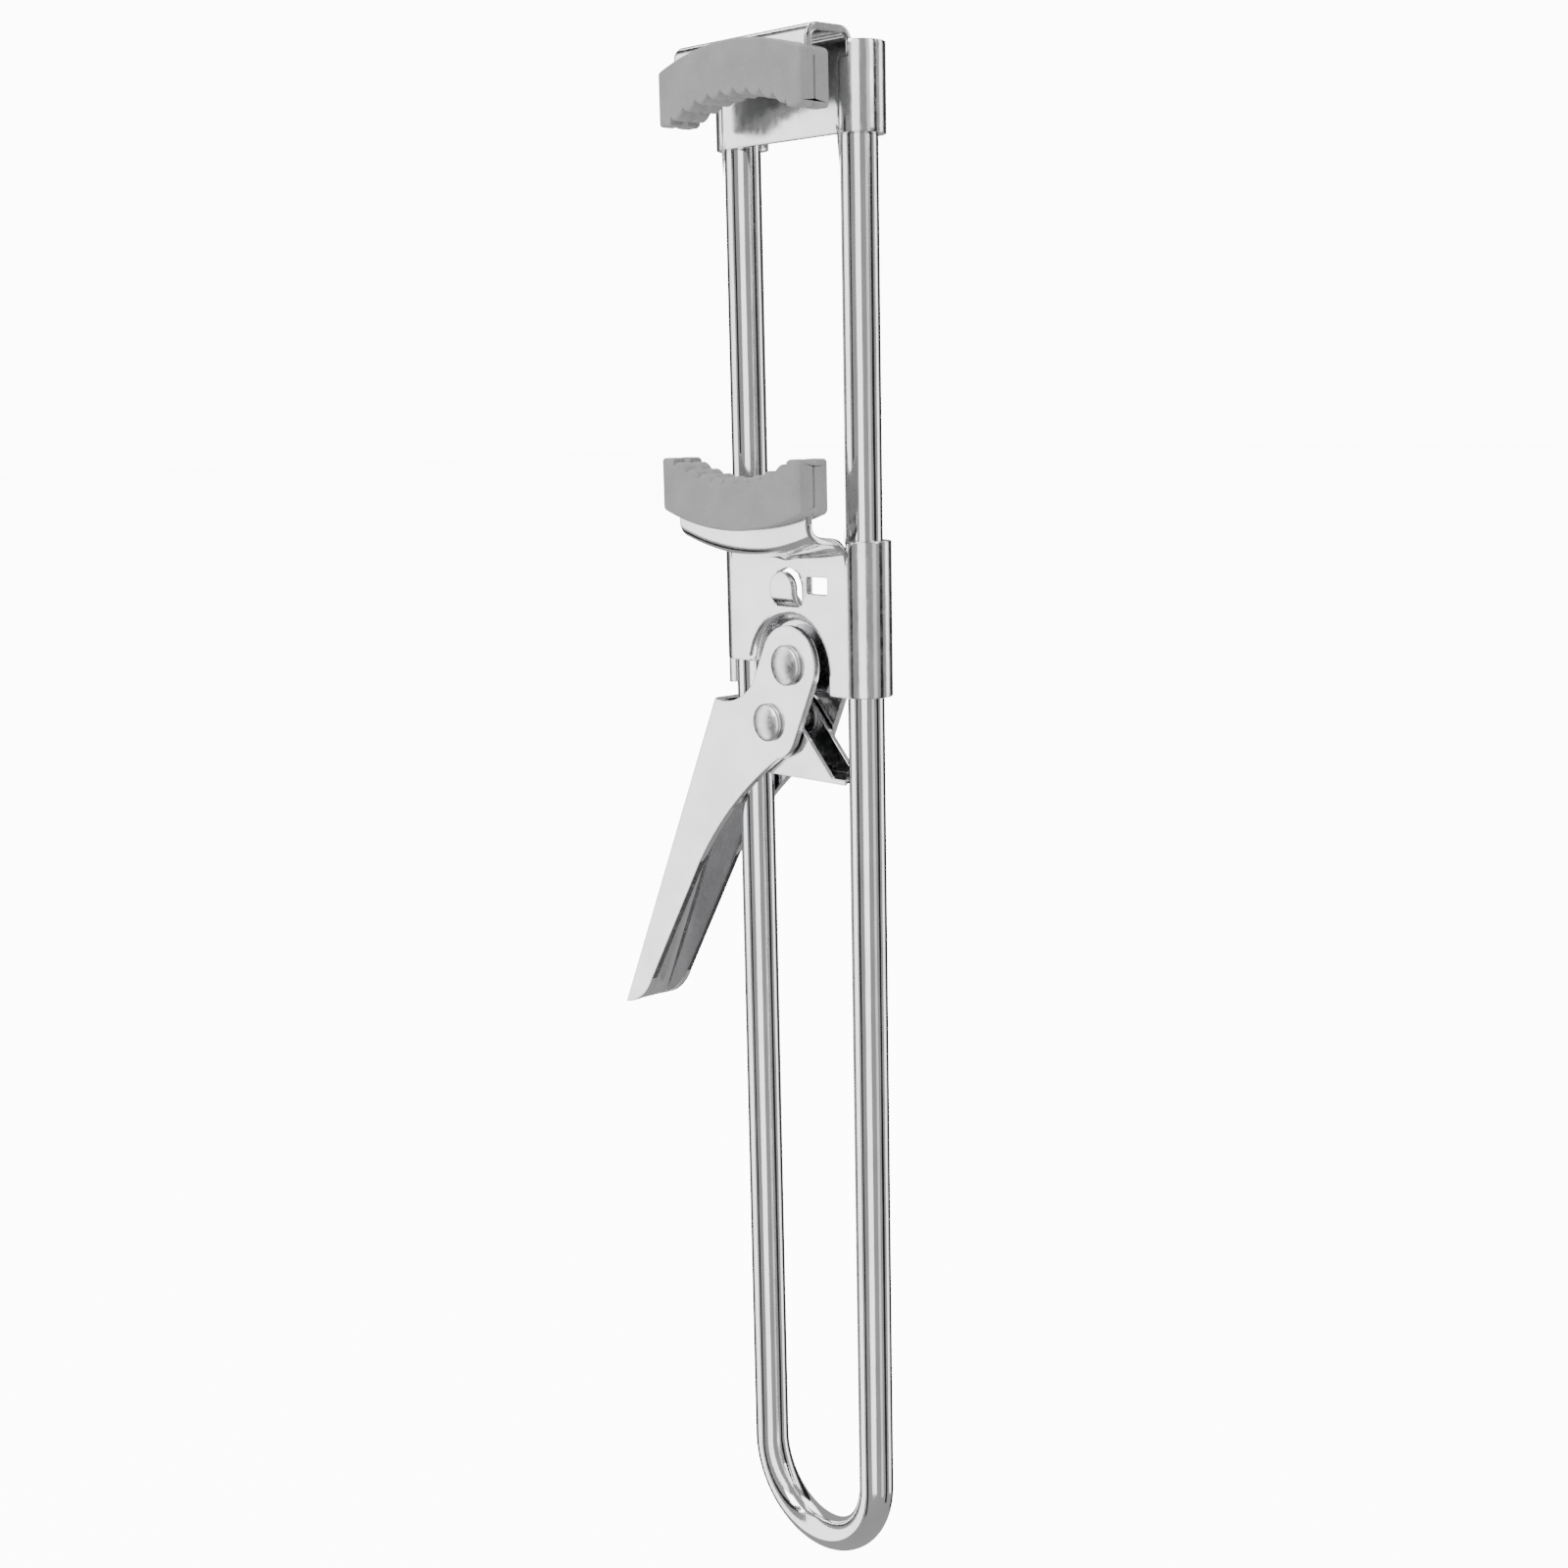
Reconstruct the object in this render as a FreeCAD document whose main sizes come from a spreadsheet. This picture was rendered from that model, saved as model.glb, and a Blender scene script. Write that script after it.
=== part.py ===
import FreeCAD, Part
import os
import re
import Sketcher

# Adjustable lid gripper: a U of round rod, a fixed jaw at its open end, and a jaw
# bracket that slides on both legs and is driven by a hand lever and a locking strut.
# Frame: origin at the foot of the U bend, midway between the legs, in their plane.
# +Z runs along the legs to the fixed jaw, +X across the legs, -Y to the pads' side.
# All sizes are millimetres and degrees.

doc = FreeCAD.newDocument("lid_gripper")
sheet = doc.addObject("Spreadsheet::Sheet", "Sizes")

SIZES = [
    # rod frame
    ("total_height", 225.0, "foot of the bend to the top of the fixed jaw"),
    ("rod_dia", 5.2, "round rod"),
    ("rod_pitch", 24.0, "between the legs' centre lines"),
    ("rod_inset", 1.6, "rod ends below the top of the fixed jaw"),
    # bent sheet
    ("sheet", 1.1, "thickness of both brackets and the lever"),
    ("sleeve_wrap", 225.0, "degrees that each sleeve is rolled round its leg"),
    ("channel_radius", 2.0, "outer bend radius of the fixed jaw's channel"),
    ("tongue_width", 27.2, "width of the tongues that carry the pads"),
    ("jaw_height", 13.4, "fixed jaw, lower edge to top"),
    ("sleeve_drop", 1.6, "fixed sleeves' tops below the channel's top"),
    ("fixed_reach", 10.9, "legs' plane to the front of the fixed tongue"),
    ("slide_reach", 12.25, "legs' plane to the front of the sliding tongue"),
    ("tongue_cover", 1.9, "rubber between a tongue's tip and the grip face"),
    # rubber pads
    ("pad_width", 29.2, "across the jaw"),
    ("pad_thick", 5.4, "front to back"),
    ("pad_height", 9.9, "crown to horn tips"),
    ("pad_waist", 7.2, "crown to the middle of the grip face"),
    ("pad_rise", 2.6, "height of the back's arc"),
    ("pad_horn", 2.2, "width of a horn's flat tip"),
    ("pad_sink", 0.9, "fixed pad's crown below the channel's top"),
    ("slot_gap", 0.05, "rubber to tongue all round"),
    # sliding bracket
    ("slide_rest", 135.8, "height of its lower edge in the drawn position"),
    ("slide_height", 21.8, "length of its sleeves"),
    ("slide_gap", 0.1, "sleeve to leg, radial"),
    ("shelf_lift", 0.1, "shelf's top above the sleeves, in the middle"),
    ("shelf_gap", 0.05, "shelf's bend to the sliding pad's crown"),
    ("shelf_radius", 2.6, "outer radius where the shelf turns up"),
    ("recess_width", 17.2, "outside of the pressed recess"),
    ("recess_height", 11.6, "lower edge to the recess's top"),
    ("recess_depth", 2.0, "plate's front to the recess floor"),
    ("notch_height", 3.8, "lever notch, up from the lower edge"),
    ("notch_inner", 6.8, "notch's inner edge from the middle"),
    ("flap_width", 4.4, "sleeve wall left at the notch"),
    ("tab_width", 5.8, "lanced spring tab"),
    ("tab_height", 5.2, "lanced spring tab"),
    ("tab_place", 12.5, "tab's foot above the lower edge"),
    ("tab_lift", 1.3, "tab's face ahead of the plate's face"),
    ("tab_slit", 0.5, "slit round the tab"),
    ("window_width", 4.0, "slot through the plate"),
    ("window_tall", 2.4, "slot through the plate"),
    ("window_side", 6.2, "slot's centre from the middle"),
    ("window_place", 15.4, "slot's centre above the lower edge"),
    # lever
    ("pivot_place", 3.8, "lever pivot above the sliding bracket's lower edge"),
    ("lever_tilt", 25.3, "degrees from the legs in the drawn position"),
    ("lever_inner", 6.0, "between the lever's flanges"),
    ("lever_lobe", 5.7, "radius of the lever's round top"),
    ("lever_back", 12.8, "pivot to the outside of the web"),
    ("lever_shoulder", 12.8, "pivot down to the web's upper end"),
    ("lever_neck", 6.0, "pivot down to the neck's curve"),
    ("lever_length", 70.3, "pivot down to the tip"),
    ("lever_hip", 13.8, "pivot down to the start of the long curve"),
    ("lever_hip_out", 3.6, "and its distance to the rod side"),
    ("lever_waist", 38.0, "pivot down to the end of the long curve"),
    ("grip_root", 7.3, "flange width at the end of the long curve"),
    ("grip_tip", 4.6, "flange width where the tip's curve starts"),
    ("tip_curve", 7.8, "length of the tip's curve"),
    ("shoulder_bend", 8.84, "radius from the web's upper end to the neck"),
    ("hip_bend", 5.1, "radius below the strut's pivot"),
    ("waist_bend", 62.9, "radius of the long curve"),
    ("tip_bend", 8.97, "radius of the tip's curve"),
    # locking strut
    ("link_place", 9.7, "lever pivot down to the strut's pivot"),
    ("link_side", 0.2, "and sideways towards the web"),
    ("strut_width", 5.4, "over its side plates"),
    ("strut_sheet", 0.8, "thickness of the strut"),
    ("strut_lobe", 3.6, "radius of the side plates' round end"),
    ("strut_drop", 7.9, "strut's pivot down to the underside of its foot"),
    ("strut_heel", 3.6, "foot's length behind the strut's pivot"),
    ("strut_gap", 0.35, "foot to the locked leg"),
    ("strut_bite", 1.2, "foot's wings past the leg's near side"),
    # rivets
    ("rivet_dia", 3.4, "lever pivot"),
    ("rivet_head", 5.9, "lever pivot"),
    ("link_dia", 3.2, "strut pivot"),
    ("link_head", 5.6, "strut pivot"),
    ("head_edge", 0.7, "height of a head's rim"),
    ("head_dome", 0.6, "rise of a head's dome"),
    ("pivot_fit", 0.06, "running fit, radial"),
    ("head_gap", 0.1, "head to flange"),
    # strut spring
    ("wire_dia", 0.6, "spring wire"),
    ("coil_turns", 3, "whole turns between the strut's side plates"),
    ("coil_pitch", 0.7, "turn to turn"),
    ("coil_gap", 0.3, "coil to rivet, radial"),
    ("leg_lean", -5.0, "degrees from straight down to the leg over the foot"),
    ("leg_length", 6.3, "leg over the foot"),
]

for row, (alias, size, note) in enumerate(SIZES, start=1):
    sheet.set(f"A{row}", alias)
    sheet.set(f"B{row}", str(size))
    sheet.setAlias(f"B{row}", alias)
    sheet.set(f"C{row}", note)
doc.recompute()

NAMES = re.compile(r"\b(" + "|".join(alias for alias, _, _ in SIZES) + r")\b")


def linked(formula):
    """The formula with each size's name pointing at its cell."""
    return NAMES.sub(r"Sizes.\1", formula)


def size_of(formula):
    """The formula's value now."""
    return float(sheet.evalExpression(linked(formula)))


def bind(target, field, formula):
    target.setExpression(field, linked(formula))


# Lengths that several pieces share
ROD_R = "(rod_dia / 2)"
BEND_Z = "(rod_pitch / 2 + rod_dia / 2)"
JAW_FOOT = "(total_height - jaw_height)"
FIXED_OUT = "(rod_dia / 2 + sheet)"
SLIDE_IN = "(rod_dia / 2 + slide_gap)"
SLIDE_OUT = "(rod_dia / 2 + slide_gap + sheet)"
PAD_R = "((pad_width ^ 2 / 4 + pad_rise ^ 2) / (2 * pad_rise))"
GRIP_HALF = "(pad_width / 2 - pad_horn)"
GRIP_RISE = "(pad_height - pad_waist)"
GRIP_R = f"(({GRIP_HALF} ^ 2 + {GRIP_RISE} ^ 2) / (2 * {GRIP_RISE}))"
FIXED_CROWN = "(total_height - pad_sink)"
SHELF_TOP = "(slide_rest + slide_height + shelf_lift)"
SHELF_RISE = "(shelf_radius - sheet + shelf_gap)"
SLIDE_CROWN = f"({SHELF_TOP} + {SHELF_RISE})"
PIVOT_Z = "(slide_rest + pivot_place)"
LINK_X = "(-link_place * sin(lever_tilt) - link_side * cos(lever_tilt))"
LINK_Z = f"({PIVOT_Z} - link_place * cos(lever_tilt) + link_side * sin(lever_tilt))"
LEVER_HALF = "(lever_inner / 2 + sheet)"


def new_body(name):
    body = doc.addObject("PartDesign::Body", name)
    body.Label = name
    return body


def new_sketch(body, plane, ahead="0"):
    """A sketch on one of the body's own planes, moved along the plane's normal."""
    sketch = body.newObject("Sketcher::SketchObject", body.Name + "_sketch")
    origin_plane = [f for f in body.Origin.OriginFeatures if f.Role == plane][0]
    sketch.AttachmentSupport = (origin_plane, [""])
    sketch.MapMode = "FlatFace"
    bind(sketch, "AttachmentOffset.Base.z", ahead)
    return sketch


def pin(sketch, geometry, end, x, y):
    """Hold a point of the sketch at x, y, both formulas."""
    for kind, formula in (("DistanceX", x), ("DistanceY", y)):
        held = Sketcher.Constraint(kind, -1, 1, geometry, end, size_of(formula))
        index = sketch.addConstraint(held)
        bind(sketch, f"Constraints[{index}]", formula)


def arc_through(start, end, radius, side, far):
    """Arc from start to end; side 1 bulges left of the way, -1 right; far takes the long way."""
    chord = end - start
    half = chord.Length / 2
    left = FreeCAD.Vector(-chord.y, chord.x, 0).normalize()
    rise = (max(radius ** 2 - half ** 2, 0)) ** 0.5
    centre = (start + end) / 2 + left * side * (rise if far else -rise)
    return Part.Arc(start, centre + left * side * radius, end)


def outline(sketch, corners, closed=True):
    """A corner is (x, y), or (x, y, radius, side[, far]) when an arc leaves it for the next."""
    points = [FreeCAD.Vector(size_of(c[0]), size_of(c[1]), 0) for c in corners]
    count = len(corners) if closed else len(corners) - 1
    edges = []
    for i in range(count):
        start, end = points[i], points[(i + 1) % len(points)]
        if len(corners[i]) == 2:
            edges.append((sketch.addGeometry(Part.LineSegment(start, end)), 1, 2))
            continue
        radius, side = corners[i][2:4]
        arc = arc_through(start, end, size_of(radius), side, len(corners[i]) == 5)
        # a sketch's arc runs anticlockwise, so one that bulges left of its way is stored turned round
        tail, head = (2, 1) if side == 1 else (1, 2)
        edge = sketch.addGeometry(arc)
        edges.append((edge, tail, head))
        index = sketch.addConstraint(Sketcher.Constraint("Radius", edge, size_of(radius)))
        bind(sketch, f"Constraints[{index}]", radius)
    for i, (edge, tail, head) in enumerate(edges):
        pin(sketch, edge, tail, *corners[i][:2])
        if closed or i + 1 < count:
            after = edges[(i + 1) % count]
            sketch.addConstraint(Sketcher.Constraint("Coincident", edge, head, after[0], after[1]))
        else:
            pin(sketch, edge, head, *corners[i + 1][:2])


def ring(sketch, x, y, radius):
    """A circle held at x, y."""
    spot = FreeCAD.Vector(size_of(x), size_of(y), 0)
    circle = sketch.addGeometry(Part.Circle(spot, FreeCAD.Vector(0, 0, 1), size_of(radius)))
    pin(sketch, circle, 3, x, y)
    index = sketch.addConstraint(Sketcher.Constraint("Radius", circle, size_of(radius)))
    bind(sketch, f"Constraints[{index}]", radius)


def add(body, kind, sketch, length, both=False, back=False):
    """Pad or Pocket a sketch; both runs it half each way, back turns it round."""
    feature = body.newObject("PartDesign::" + kind, body.Name + "_" + kind.lower())
    feature.Profile = sketch
    bind(feature, "Length", length)
    feature.Midplane = both
    feature.Reversed = back
    doc.recompute()
    if kind == "Pocket" and feature.BaseFeature.Shape.Volume - feature.Shape.Volume < 1e-6:
        raise ValueError(f"{feature.Name} cuts nothing")
    return feature


def box_outline(left, right, low, high):
    return [(left, low), (right, low), (right, high), (left, high)]


def turn_about(body, kind, sketch, axis, angle="360"):
    feature = body.newObject("PartDesign::" + kind, body.Name + "_turn")
    feature.Profile = sketch
    feature.ReferenceAxis = (sketch, [axis])
    bind(feature, "Angle", angle)
    feature.Midplane = True
    doc.recompute()
    return feature


def sleeved_plate(body, inner, outer, foot, height):
    """Front plate rolled round both legs, open at the back, standing on foot."""
    across = "rod_pitch / 2"
    end = "(sleeve_wrap - 90)"
    strip = new_sketch(body, "XY_Plane", foot)
    outline(strip, [
        (f"-{across}", f"-{outer}"),
        (across, f"-{outer}", outer, -1, "far"),
        (f"{across} + {outer} * cos({end})", f"{outer} * sin({end})"),
        (f"{across} + {inner} * cos({end})", f"{inner} * sin({end})", inner, 1, "far"),
        (across, f"-{inner}"),
        (f"-{across}", f"-{inner}", inner, 1, "far"),
        (f"-{across} - {inner} * cos({end})", f"{inner} * sin({end})"),
        (f"-{across} - {outer} * cos({end})", f"{outer} * sin({end})", outer, -1, "far"),
    ])
    return add(body, "Pad", strip, height)


# --- rod frame: one rod, bent to a U -------------------------------------------------
def build_rod_frame():
    body = new_body("rod_frame")
    top = "(total_height - rod_inset)"
    across = "rod_pitch / 2"
    spine = new_sketch(body, "XZ_Plane")
    outline(spine, [
        (f"-{across}", top),
        (f"-{across}", BEND_Z, across, -1),
        ("0", f"{BEND_Z} - {across}", across, -1),
        (across, BEND_Z),
        (across, top),
    ], closed=False)
    section = new_sketch(body, "XY_Plane", top)
    ring(section, f"-{across}", "0", ROD_R)
    doc.recompute()
    rod = body.newObject("PartDesign::AdditivePipe", "rod_sweep")
    rod.Profile = section
    rod.Spine = spine
    doc.recompute()
    return body


# --- fixed jaw: sheet rolled round both legs, its middle folded over to a tongue ------
def build_fixed_bracket():
    body = new_body("fixed_bracket")
    sleeved_plate(body, ROD_R, FIXED_OUT, JAW_FOOT, "jaw_height - sleeve_drop")
    top = "total_height"
    low = f"({top} - channel_radius)"
    tip = f"({FIXED_CROWN} - pad_waist + tongue_cover)"
    inner_r = "(channel_radius - sheet)"
    fold = new_sketch(body, "YZ_Plane")
    outline(fold, [
        (f"-{ROD_R}", f"{low} - sheet"),
        (f"-{ROD_R}", low, "channel_radius", 1),
        (f"-{ROD_R} - channel_radius", top),
        ("-fixed_reach + channel_radius", top, "channel_radius", 1),
        ("-fixed_reach", low),
        ("-fixed_reach", tip),
        ("-fixed_reach + sheet", tip),
        ("-fixed_reach + sheet", low, inner_r, -1),
        ("-fixed_reach + channel_radius", f"{top} - sheet"),
        (f"-{ROD_R} - channel_radius", f"{top} - sheet", inner_r, -1),
        (f"-{FIXED_OUT}", low),
        (f"-{FIXED_OUT}", f"{low} - sheet"),
    ])
    add(body, "Pad", fold, "tongue_width", both=True)
    return body


# --- rubber pads: an arched block with a slot for the bracket's tongue ----------------
def build_pad(name, crown, way, reach):
    """way is the sign from the crown to the grip face: '-' hangs down, '+' stands up."""
    body = new_body(name)
    turn = -1 if way == "-" else 1
    half = "pad_width / 2"
    shoulder = f"{crown} {way} pad_rise"
    horn = f"{crown} {way} pad_height"
    face = new_sketch(body, "XZ_Plane")
    outline(face, [
        (f"-{half}", shoulder, PAD_R, turn * -1),
        (half, shoulder),
        (half, horn),
        (GRIP_HALF, horn, GRIP_R, turn),
        (f"-{GRIP_HALF}", horn),
        (f"-{half}", horn),
    ])
    add(body, "Pad", face, "pad_thick", both=True)
    deep = "(pad_waist - tongue_cover + slot_gap)"
    slot_half = "(tongue_width / 2 + slot_gap)"
    slot = new_sketch(body, "XZ_Plane")
    if way == "-":
        outline(slot, box_outline(f"-{slot_half}", slot_half, f"{crown} - {deep}", f"{crown} + 1"))
    else:
        # this tongue's tip is an arc about the same centre line as the pad's back
        tip_r = f"({PAD_R} - {deep})"
        tip_end = f"{crown} + {PAD_R} - sqrt({tip_r} ^ 2 - {slot_half} ^ 2)"
        outline(slot, [
            (f"-{slot_half}", f"{crown} - 1"),
            (slot_half, f"{crown} - 1"),
            (slot_half, tip_end, tip_r, 1),
            (f"-{slot_half}", tip_end),
        ])
    add(body, "Pocket", slot, "sheet + 2 * slot_gap", both=True)
    if way == "-":
        # behind the tongue the rubber stays under the channel's bend and its web
        for floor, depth in (("channel_radius", "channel_radius - sheet"), ("sheet", "pad_thick")):
            relief = new_sketch(body, "XZ_Plane", "-(sheet / 2 + slot_gap)")
            low = f"total_height - {floor} - slot_gap"
            outline(relief, box_outline(f"-{slot_half}", slot_half, low, "total_height + 1"))
            add(body, "Pocket", relief, depth)
    bind(body, "Placement.Base.y", f"sheet / 2 - {reach}")
    return body


# --- sliding bracket -------------------------------------------------------------------
def build_slider_bracket():
    body = new_body("slider_bracket")
    sleeved_plate(body, SLIDE_IN, SLIDE_OUT, "slide_rest", "slide_height")
    face = SLIDE_OUT
    # the plate rises to the shelf's arc between the sleeves
    axis_z = f"({SLIDE_CROWN} + {PAD_R})"
    shelf_r = f"({PAD_R} + {SHELF_RISE})"
    half = "tongue_width / 2"
    rise = f"({axis_z} - sqrt({shelf_r} ^ 2 - ({half}) ^ 2))"
    web = new_sketch(body, "XZ_Plane", SLIDE_IN)
    outline(web, [
        (f"-{half}", "slide_rest + slide_height - 2"),
        (half, "slide_rest + slide_height - 2"),
        (half, rise, shelf_r, 1),
        (f"-{half}", rise),
    ])
    add(body, "Pad", web, "sheet")
    # shelf and tongue: an L turned about the pad's own centre line
    shelf = new_sketch(body, "YZ_Plane")
    low = f"({SHELF_TOP} - sheet)"
    tip = f"({SLIDE_CROWN} + pad_waist - tongue_cover)"
    inner_r = "(shelf_radius - sheet)"
    outline(shelf, [
        (f"-{SLIDE_IN}", low),
        (f"-{SLIDE_IN}", SHELF_TOP),
        ("-slide_reach + shelf_radius", SHELF_TOP, inner_r, -1),
        ("-slide_reach + sheet", f"{low} + shelf_radius"),
        ("-slide_reach + sheet", tip),
        ("-slide_reach", tip),
        ("-slide_reach", f"{low} + shelf_radius", "shelf_radius", 1),
        ("-slide_reach + shelf_radius", low),
    ])
    line = shelf.addGeometry(Part.LineSegment(
        FreeCAD.Vector(size_of("-slide_reach"), size_of(axis_z), 0),
        FreeCAD.Vector(0, size_of(axis_z), 0)), True)
    pin(shelf, line, 1, "-slide_reach", axis_z)
    pin(shelf, line, 2, "0", axis_z)
    turn_about(body, "Revolution", shelf, "Axis0", f"2 * asin({half} / {shelf_r})")
    # pressed recess that the lever's round top turns in
    for kind, wall, depth in (("Pad", "0", "recess_depth + sheet"), ("Pocket", "sheet", "recess_depth")):
        wide = f"(recess_width / 2 - {wall})"
        spring_line = "slide_rest + recess_height - recess_width / 2"
        foot = "slide_rest" if kind == "Pad" else "slide_rest - 1"
        arch = new_sketch(body, "XZ_Plane", face)
        outline(arch, [
            (f"-{wide}", foot),
            (wide, foot),
            (wide, spring_line, wide, -1),
            ("0", f"{spring_line} + {wide}", wide, -1),
            (f"-{wide}", spring_line),
        ])
        add(body, kind, arch, depth, back=(kind == "Pad"))
    bore = new_sketch(body, "XZ_Plane", face)
    ring(bore, "0", PIVOT_Z, "rivet_dia / 2")
    add(body, "Pocket", bore, "2 * recess_depth + 2 * sheet")
    # notch in front and behind, that the lever's flanges swing through
    for side in (1, -1):
        sign = "-" if side == 1 else ""
        notch = new_sketch(body, "XY_Plane", "slide_rest")
        near, far = f"{sign}flap_width / 2", f"{sign}({SLIDE_OUT} + 1)"
        ends = (far, near) if side == 1 else (near, far)
        outline(notch, box_outline(f"-(rod_pitch / 2 + {SLIDE_OUT} + 1)", "-notch_inner", *ends))
        add(body, "Pocket", notch, "notch_height", back=True)
    # window through the plate
    window = new_sketch(body, "XZ_Plane", face)
    across, tall = "window_width / 2", "window_tall / 2"
    middle = "slide_rest + window_place"
    left, right = f"window_side - {across}", f"window_side + {across}"
    outline(window, box_outline(left, right, f"{middle} - {tall}", f"{middle} + {tall}"))
    add(body, "Pocket", window, "sheet")
    # lanced tab: a D cut free round its top and pushed forward from its foot
    foot = "slide_rest + tab_place"
    for kind, slit, ahead, depth in (("Pocket", "tab_slit", face, "sheet"),
                                     ("Pad", "0", f"{face} + tab_lift - sheet", "sheet")):
        wide = f"(tab_width / 2 - tab_slit + {slit})"
        straight = f"{foot} + tab_height - tab_slit + {slit} - {wide}"
        tab = new_sketch(body, "XZ_Plane", ahead)
        outline(tab, [
            (f"-{wide}", foot),
            (wide, foot),
            (wide, straight, wide, -1),
            ("0", f"{straight} + {wide}", wide, -1),
            (f"-{wide}", straight),
        ])
        add(body, kind, tab, depth)
    bend = new_sketch(body, "XZ_Plane", SLIDE_IN)
    wide = "(tab_width / 2 - tab_slit)"
    outline(bend, box_outline(f"-{wide}", wide, foot, f"{foot} + sheet"))
    add(body, "Pad", bend, "sheet + tab_lift")
    return body


# --- lever: a channel open towards the legs ---------------------------------------------
def build_lever():
    """Drawn hanging straight down from its pivot, then tilted about it."""
    body = new_body("lever")
    back = "-lever_back"
    flange = new_sketch(body, "XZ_Plane")
    outline(flange, [
        (back, "-lever_shoulder", "shoulder_bend", -1),
        ("-lever_lobe", "-lever_neck"),
        ("-lever_lobe", "0", "lever_lobe", 1),
        ("0", "lever_lobe", "lever_lobe", 1),
        ("lever_lobe", "0"),
        ("lever_lobe", "-link_place", "hip_bend", 1),
        ("lever_hip_out", "-lever_hip", "waist_bend", -1),
        (f"{back} + grip_root", "-lever_waist"),
        (f"{back} + grip_tip", "-lever_length + tip_curve", "tip_bend", 1),
        (back, "-lever_length"),
    ])
    add(body, "Pad", flange, "lever_inner + 2 * sheet", both=True)
    hollow = new_sketch(body, "XZ_Plane")
    outline(hollow, box_outline(f"{back} + sheet", "2 * lever_lobe", "-lever_length - 1", "2 * lever_lobe"))
    add(body, "Pocket", hollow, "lever_inner", both=True)
    holes = new_sketch(body, "XZ_Plane")
    ring(holes, "0", "0", "rivet_dia / 2 + pivot_fit")
    ring(holes, "-link_side", "-link_place", "link_dia / 2")
    add(body, "Pocket", holes, "lever_inner + 4 * sheet", both=True)
    bind(body, "Placement.Base.z", PIVOT_Z)
    body.Placement.Rotation = FreeCAD.Rotation(FreeCAD.Vector(0, 1, 0), 1)
    bind(body, "Placement.Rotation.Angle", "lever_tilt")
    return body


# --- locking strut: a small channel whose foot bites the right leg -----------------------
def build_strut():
    """Drawn with its pivot at the origin and its foot level."""
    body = new_body("locking_strut")
    reach = f"(rod_pitch / 2 - {ROD_R} - strut_gap - {LINK_X})"
    under = "-strut_drop"
    plate = new_sketch(body, "XZ_Plane")
    outline(plate, [
        ("-strut_lobe", "0", "strut_lobe", 1),
        # the lobe ends at a 3-4-5 point of its circle
        ("0.8 * strut_lobe", "0.6 * strut_lobe"),
        (f"{reach} - strut_lobe / 2", f"{under} + strut_sheet"),
        (f"{reach} - strut_lobe / 2", under),
        ("-strut_heel", under),
    ])
    add(body, "Pad", plate, "strut_width", both=True)
    hollow = new_sketch(body, "XZ_Plane")
    outline(hollow, box_outline("-2 * strut_lobe", reach, f"{under} + strut_sheet", "2 * strut_lobe"))
    add(body, "Pocket", hollow, "strut_width - 2 * strut_sheet", both=True)
    foot = new_sketch(body, "XZ_Plane")
    outline(foot, box_outline("0", f"{reach} + strut_bite", under, f"{under} + strut_sheet"))
    add(body, "Pad", foot, "strut_width", both=True)
    bite = new_sketch(body, "XY_Plane", f"{under} - 1")
    ring(bite, f"rod_pitch / 2 - {LINK_X}", "0", f"{ROD_R} + strut_gap")
    add(body, "Pocket", bite, "strut_sheet + 2", back=True)
    bore = new_sketch(body, "XZ_Plane")
    ring(bore, "0", "0", "link_dia / 2 + pivot_fit")
    add(body, "Pocket", bore, "2 * strut_width", both=True)
    bind(body, "Placement.Base.x", LINK_X)
    bind(body, "Placement.Base.z", LINK_Z)
    return body


# --- rivets: a shank with a domed head at each end ---------------------------------------
def build_rivet(name, shank, head, x, z):
    body = new_body(name)
    seat = f"({LEVER_HALF} + head_gap)"
    rim = f"({seat} + head_edge)"
    crown = f"({rim} + head_dome)"
    dome_r = f"((({head} / 2) ^ 2 + head_dome ^ 2) / (2 * head_dome))"
    half = new_sketch(body, "XY_Plane")
    outline(half, [
        ("0", f"-{crown}", dome_r, -1),
        (f"{head} / 2", f"-{rim}"),
        (f"{head} / 2", f"-{seat}"),
        (f"{shank} / 2", f"-{seat}"),
        (f"{shank} / 2", seat),
        (f"{head} / 2", seat),
        (f"{head} / 2", rim, dome_r, -1),
        ("0", crown),
    ])
    turn_about(body, "Revolution", half, "V_Axis")
    bind(body, "Placement.Base.x", x)
    bind(body, "Placement.Base.z", z)
    return body


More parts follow.
